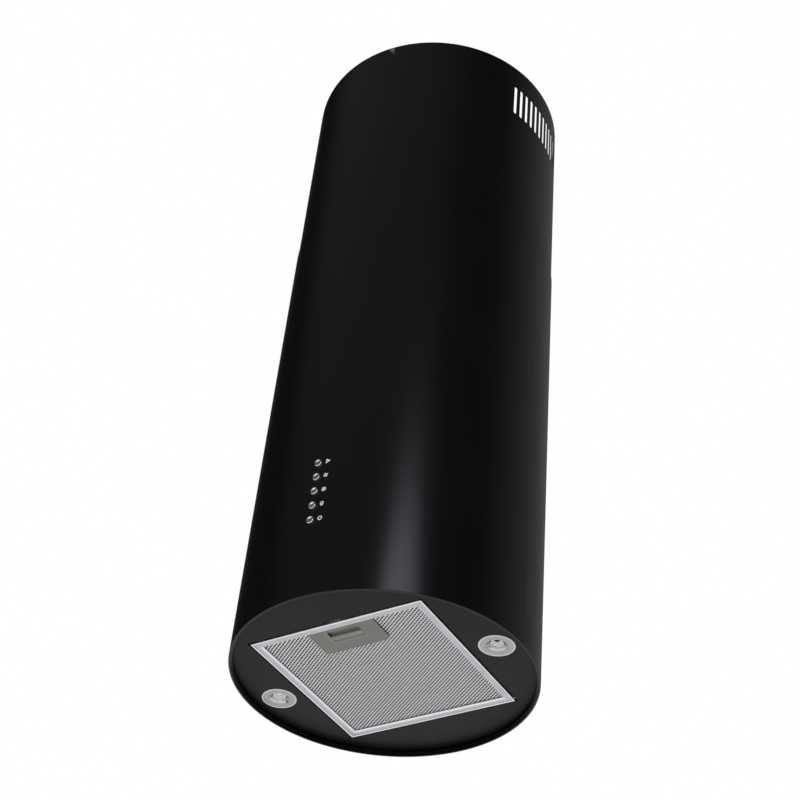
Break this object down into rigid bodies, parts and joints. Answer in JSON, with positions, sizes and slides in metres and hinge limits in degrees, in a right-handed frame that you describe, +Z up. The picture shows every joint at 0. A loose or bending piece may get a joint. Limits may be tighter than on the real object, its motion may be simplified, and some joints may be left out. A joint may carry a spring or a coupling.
{
  "type": "island range hood",
  "caption": "Round ceiling-hung kitchen extractor with a telescopic chimney cover, push buttons, swing-down grease filter, two lamps and a blower",
  "frame": {"origin": "centre of the ceiling mounting face", "axes": "+Z up along the tube, -Y towards the push buttons, +X to the right seen from the front"},
  "size_m": [0.35, 0.3522, 0.935],
  "materials": {
    "black_enamel": "satin black powder coat",
    "zinc_sheet": "galvanised sheet",
    "zinc_bolt": "zinc-plated",
    "chrome_cap": "polished",
    "filter_aluminium": "satin",
    "handle_grey": "fine texture",
    "black_plastic": "moulded",
    "grey_plastic": "moulded",
    "board_green": "circuit board",
    "bulb_glass": "clear",
    "lamp_silver": "satin",
    "spring_steel": "bright wire",
    "motor_steel": "black oxide",
    "lead_sheath": "sheathed lead",
    "capacitor_can": "drawn can"
  },
  "bodies": {
    "ceiling_frame": {"ceiling_bracket": "zinc_sheet", "upper_uprights": "zinc_sheet", "bracket_bolts": "zinc_bolt"},
    "hood_body": {"base_plate": "zinc_sheet", "bottom_pan": "black_enamel", "button_spring_1": "spring_steel", "button_spring_2": "spring_steel", "button_spring_3": "spring_steel", "button_spring_4": "spring_steel", "button_spring_5": "spring_steel", "cable_gland": "black_plastic", "capacitor": "capacitor_can", "capacitor_clip": "zinc_sheet", "filter_catch": "spring_steel", "filter_rails": "black_enamel", "frame_bolts": "zinc_bolt", "frame_nuts": "zinc_bolt", "lamp_cans": "lamp_silver", "lamp_clips": "spring_steel", "lamp_glasses": "bulb_glass", "lamp_leads": "lead_sheath", "lamp_rings": "lamp_silver", "lower_shell": "black_enamel", "lower_uprights": "zinc_sheet", "motor": "motor_steel", "motor_box": "zinc_sheet", "motor_bracket": "zinc_sheet", "outlet_collar": "black_plastic", "switch_board": "board_green", "switch_bracket": "zinc_sheet", "switch_housing": "black_plastic", "switch_lead": "lead_sheath", "terminal_box": "black_plastic", "terminal_lid": "black_plastic", "volute_left": "black_plastic", "volute_right": "black_plastic"},
    "chimney": {"upper_chimney": "black_enamel", "chimney_screws": "chrome_cap", "chimney_nuts": "zinc_bolt"},
    "impeller_rotor": {"impeller": "grey_plastic", "motor_shaft": "spring_steel"},
    "damper_front_flap": {"damper_front": "grey_plastic"},
    "damper_rear_flap": {"damper_rear": "grey_plastic"},
    "filter": {"filter_frame": "filter_aluminium", "filter_pins": "spring_steel", "filter_mesh": "filter_aluminium", "filter_core": "filter_aluminium", "filter_handle": "handle_grey", "latch_springs": "spring_steel"},
    "latch": {"filter_latch": "handle_grey"},
    "button_body_1": {"button_1": "chrome_cap"},
    "button_body_2": {"button_2": "chrome_cap"},
    "button_body_3": {"button_3": "chrome_cap"},
    "button_body_4": {"button_4": "chrome_cap"},
    "button_body_5": {"button_5": "chrome_cap"}
  },
  "joints": [
    {"name": "height_adjust", "type": "slide", "parent": "ceiling_frame", "child": "hood_body", "axis": [0, 0, 1], "range_m": [-0.08, 0.12]},
    {"name": "chimney_slide", "type": "slide", "parent": "ceiling_frame", "child": "chimney", "axis": [0, 0, 1], "range_m": [-0.12, 0]},
    {"name": "impeller_spin", "type": "hinge", "parent": "hood_body", "child": "impeller_rotor", "pos_m": [0, 0.03, -0.641], "axis": [1, 0, 0], "continuous": true},
    {"name": "damper_front_swing", "type": "hinge", "parent": "hood_body", "child": "damper_front_flap", "pos_m": [0, -0.003, -0.483], "axis": [-1, 0, 0], "range_deg": [0, 75]},
    {"name": "damper_rear_swing", "type": "hinge", "parent": "hood_body", "child": "damper_rear_flap", "pos_m": [0, 0.003, -0.483], "axis": [1, 0, 0], "range_deg": [0, 75]},
    {"name": "filter_hinge", "type": "hinge", "parent": "hood_body", "child": "filter", "pos_m": [0, 0.1055, -0.9247], "axis": [1, 0, 0], "range_deg": [0, 85], "deforming": ["filter_catch"]},
    {"name": "latch_slide", "type": "slide", "parent": "filter", "child": "latch", "axis": [0, 1, 0], "range_m": [0, 0.004], "stiffness_N_per_m": 400, "springref_m": -0.003, "deforming": ["latch_springs"]},
    {"name": "button_push_1", "type": "slide", "parent": "hood_body", "child": "button_body_1", "axis": [0, 1, 0], "range_m": [0, 0.003], "stiffness_N_per_m": 500, "springref_m": -0.002, "deforming": ["button_spring_1"]},
    {"name": "button_push_2", "type": "slide", "parent": "hood_body", "child": "button_body_2", "axis": [0, 1, 0], "range_m": [0, 0.003], "stiffness_N_per_m": 500, "springref_m": -0.002, "deforming": ["button_spring_2"]},
    {"name": "button_push_3", "type": "slide", "parent": "hood_body", "child": "button_body_3", "axis": [0, 1, 0], "range_m": [0, 0.003], "stiffness_N_per_m": 500, "springref_m": -0.002, "deforming": ["button_spring_3"]},
    {"name": "button_push_4", "type": "slide", "parent": "hood_body", "child": "button_body_4", "axis": [0, 1, 0], "range_m": [0, 0.003], "stiffness_N_per_m": 500, "springref_m": -0.002, "deforming": ["button_spring_4"]},
    {"name": "button_push_5", "type": "slide", "parent": "hood_body", "child": "button_body_5", "axis": [0, 1, 0], "range_m": [0, 0.003], "stiffness_N_per_m": 500, "springref_m": -0.002, "deforming": ["button_spring_5"]}
  ]
}
